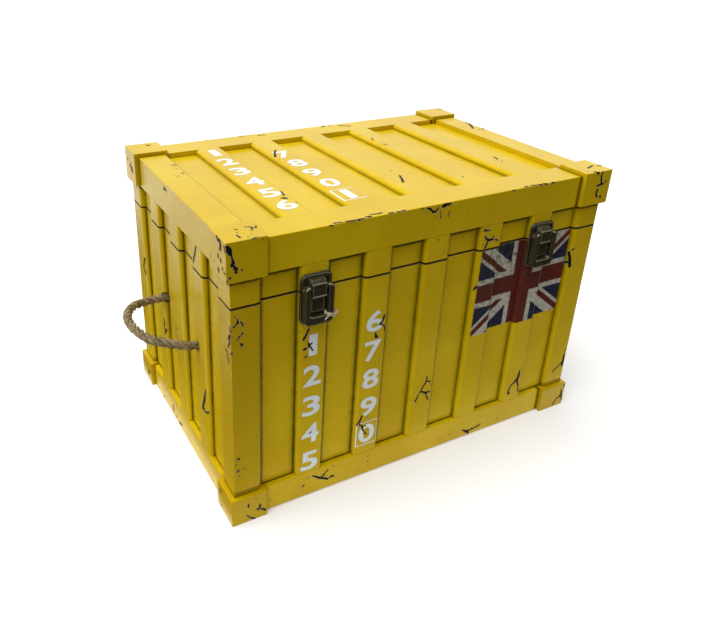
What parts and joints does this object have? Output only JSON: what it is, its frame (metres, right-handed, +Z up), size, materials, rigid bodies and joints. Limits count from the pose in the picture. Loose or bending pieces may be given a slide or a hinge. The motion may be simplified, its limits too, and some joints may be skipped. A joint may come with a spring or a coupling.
{
  "type": "storage_chest",
  "caption": "Yellow painted storage chest built like a small freight container, with a hinged lid, two draw latches, rope handles and a worn painted flag",
  "frame": {"origin": "the point on the floor under the middle of the overall box", "axes": "+X to the right along the long front, +Y to the back where the hinges are, +Z up"},
  "size_m": [0.5978, 0.3338, 0.33],
  "materials": {
    "painted_wood": "satin paint with worn edges",
    "painted_board": "satin paint, glazed in the corners",
    "bronzed_metal": "antique bronze plating, bright at the edges",
    "worn_steel": "dull",
    "jute_rope": "three-strand natural fibre",
    "twine": "natural fibre"
  },
  "bodies": {
    "base": {"floor_panel": "painted_board", "front_panel": "painted_board", "back_panel": "painted_board", "left_panel": "painted_board", "right_panel": "painted_board", "front_ribs": "painted_wood", "back_ribs": "painted_wood", "left_ribs": "painted_wood", "right_ribs": "painted_wood", "front_left_post": "painted_wood", "front_right_post": "painted_wood", "back_left_post": "painted_wood", "back_right_post": "painted_wood", "front_bottom_rail": "painted_wood", "back_bottom_rail": "painted_wood", "left_bottom_rail": "painted_wood", "right_bottom_rail": "painted_wood", "front_left_foot": "painted_wood", "front_right_foot": "painted_wood", "back_left_foot": "painted_wood", "back_right_foot": "painted_wood", "rope_ends": "jute_rope", "left_latch_base": "bronzed_metal", "right_latch_base": "bronzed_metal", "latch_pins": "worn_steel", "left_hinge_base_leaf": "bronzed_metal", "right_hinge_base_leaf": "bronzed_metal", "hinge_pins": "worn_steel", "base_screws": "worn_steel"},
    "lid": {"lid_panel": "painted_board", "lid_front_panel": "painted_board", "lid_back_panel": "painted_board", "lid_left_panel": "painted_board", "lid_right_panel": "painted_board", "lid_ribs": "painted_wood", "lid_front_ribs": "painted_wood", "lid_back_ribs": "painted_wood", "lid_left_ribs": "painted_wood", "lid_right_ribs": "painted_wood", "lid_post_ends": "painted_wood", "lid_front_rail": "painted_wood", "lid_back_rail": "painted_wood", "lid_left_rail": "painted_wood", "lid_right_rail": "painted_wood", "front_left_cap": "painted_wood", "front_right_cap": "painted_wood", "back_left_cap": "painted_wood", "back_right_cap": "painted_wood", "left_latch_catch": "bronzed_metal", "right_latch_catch": "bronzed_metal", "left_hinge_lid_leaf": "bronzed_metal", "right_hinge_lid_leaf": "bronzed_metal", "lid_screws": "worn_steel"},
    "left_lever": {"left_latch_lever": "bronzed_metal", "latch_twine": "twine"},
    "right_lever": {"right_latch_lever": "bronzed_metal"},
    "left_tongue": {"left_latch_tongue": "bronzed_metal"},
    "right_tongue": {"right_latch_tongue": "bronzed_metal"},
    "left_handle": {"left_handle_rope": "jute_rope"},
    "right_handle": {"right_handle_rope": "jute_rope"}
  },
  "joints": [
    {"name": "lid_hinge", "type": "hinge", "parent": "base", "child": "lid", "pos_m": [0, 0.1629, 0.2604], "axis": [-1, 0, 0], "range_deg": [0, 100]},
    {"name": "left_lever_hinge", "type": "hinge", "parent": "base", "child": "left_lever", "pos_m": [-0.14633, -0.161, 0.266], "axis": [-1, 0, 0], "range_deg": [0, 100]},
    {"name": "left_tongue_hinge", "type": "hinge", "parent": "left_lever", "child": "left_tongue", "pos_m": [-0.14633, -0.1624, 0.258], "axis": [-1, 0, 0], "range_deg": [-100, 0]},
    {"name": "right_lever_hinge", "type": "hinge", "parent": "base", "child": "right_lever", "pos_m": [0.14633, -0.161, 0.266], "axis": [-1, 0, 0], "range_deg": [0, 100]},
    {"name": "right_tongue_hinge", "type": "hinge", "parent": "right_lever", "child": "right_tongue", "pos_m": [0.14633, -0.1624, 0.258], "axis": [-1, 0, 0], "range_deg": [-100, 0]},
    {"name": "left_handle_swing", "type": "hinge", "parent": "base", "child": "left_handle", "pos_m": [-0.2405, -0.00275, 0.169], "axis": [0, 1, 0], "range_deg": [-75, 75]},
    {"name": "right_handle_swing", "type": "hinge", "parent": "base", "child": "right_handle", "pos_m": [0.2405, -0.00275, 0.169], "axis": [0, 1, 0], "range_deg": [-75, 75]}
  ],
  "couplings": [
    {"joint": "left_tongue_hinge", "follows": "left_lever_hinge", "ratio": -1},
    {"joint": "right_tongue_hinge", "follows": "right_lever_hinge", "ratio": -1}
  ]
}
